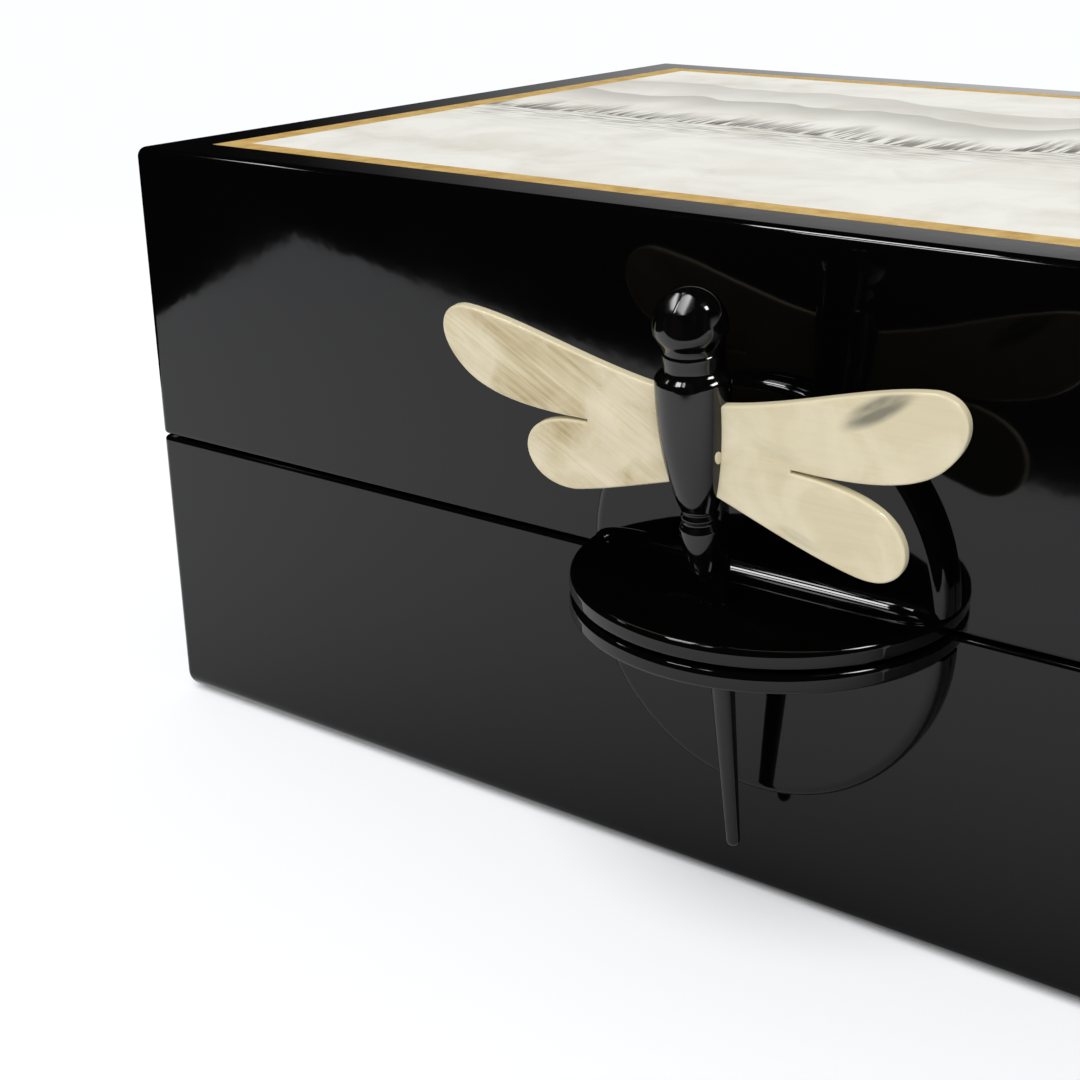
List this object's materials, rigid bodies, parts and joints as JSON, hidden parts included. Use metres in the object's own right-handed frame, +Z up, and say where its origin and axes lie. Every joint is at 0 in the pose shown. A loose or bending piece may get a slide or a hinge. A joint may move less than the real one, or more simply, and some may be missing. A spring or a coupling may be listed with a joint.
{
  "type": "lacquer box",
  "caption": "Black lacquer keepsake box with hinged lid, gold-edged ink-wash panel on top and a half-round front clasp held by a dragonfly pin with pale horn wings.",
  "frame": {"origin": "middle of the footprint, on the face that the box rests on", "axes": "+X to the right along the front, +Y to the back, +Z up; the clasp is on the -Y side"},
  "size_m": [0.294, 0.2337, 0.12],
  "materials": {
    "black_lacquer": "wood board under polished black lacquer, mirror gloss",
    "black_horn": "turned and carved black horn, polished",
    "pale_horn": "flat pale horn sheet, streaked, polished",
    "gold_leaf": "gold leaf on a wood strip",
    "ink_wash_panel": "mottled ivory ground with a grey ink-wash design under clear lacquer",
    "grey_suede": "warm grey suede cloth on board",
    "black_felt": "black wool felt",
    "brass": "satin brass"
  },
  "bodies": {
    "base": {"base_front_wall": "black_lacquer", "base_back_wall": "black_lacquer", "base_left_wall": "black_lacquer", "base_right_wall": "black_lacquer", "base_bottom_board": "black_lacquer", "underside_felt": "black_felt", "base_floor_lining": "grey_suede", "base_liner_front": "grey_suede", "base_liner_back": "grey_suede", "base_liner_left": "grey_suede", "base_liner_right": "grey_suede", "lower_shelf": "black_lacquer", "lower_back_plate": "black_lacquer", "base_clasp_screws": "brass", "hinge_base_leaf_left": "brass", "hinge_base_leaf_right": "brass", "hinge_pin_left": "brass", "hinge_pin_right": "brass", "hinge_base_screws": "brass"},
    "lid": {"lid_front_wall": "black_lacquer", "lid_back_wall": "black_lacquer", "lid_left_wall": "black_lacquer", "lid_right_wall": "black_lacquer", "lid_top_board": "black_lacquer", "picture_panel": "ink_wash_panel", "gold_strip_front": "gold_leaf", "gold_strip_back": "gold_leaf", "gold_strip_left": "gold_leaf", "gold_strip_right": "gold_leaf", "lid_lining": "grey_suede", "lid_liner_front": "grey_suede", "lid_liner_back": "grey_suede", "lid_liner_left": "grey_suede", "lid_liner_right": "grey_suede", "upper_shelf": "black_lacquer", "upper_back_plate": "black_lacquer", "lid_clasp_screws": "brass", "hinge_lid_leaf_left": "brass", "hinge_lid_leaf_right": "brass", "hinge_lid_screws": "brass"},
    "dragonfly": {"dragonfly_pin": "black_horn", "dragonfly_body": "black_horn", "dragonfly_left_wings": "pale_horn", "dragonfly_right_wings": "pale_horn"}
  },
  "joints": [
    {"name": "lid_hinge", "type": "hinge", "parent": "base", "child": "lid", "pos_m": [0, 0.1005, 0.06], "axis": [-1, 0, 0], "range_deg": [0, 100]},
    {"name": "dragonfly_lift", "type": "slide", "parent": "lid", "child": "dragonfly", "axis": [0, -0.1564, 0.9877], "range_m": [0, 0.052]}
  ]
}
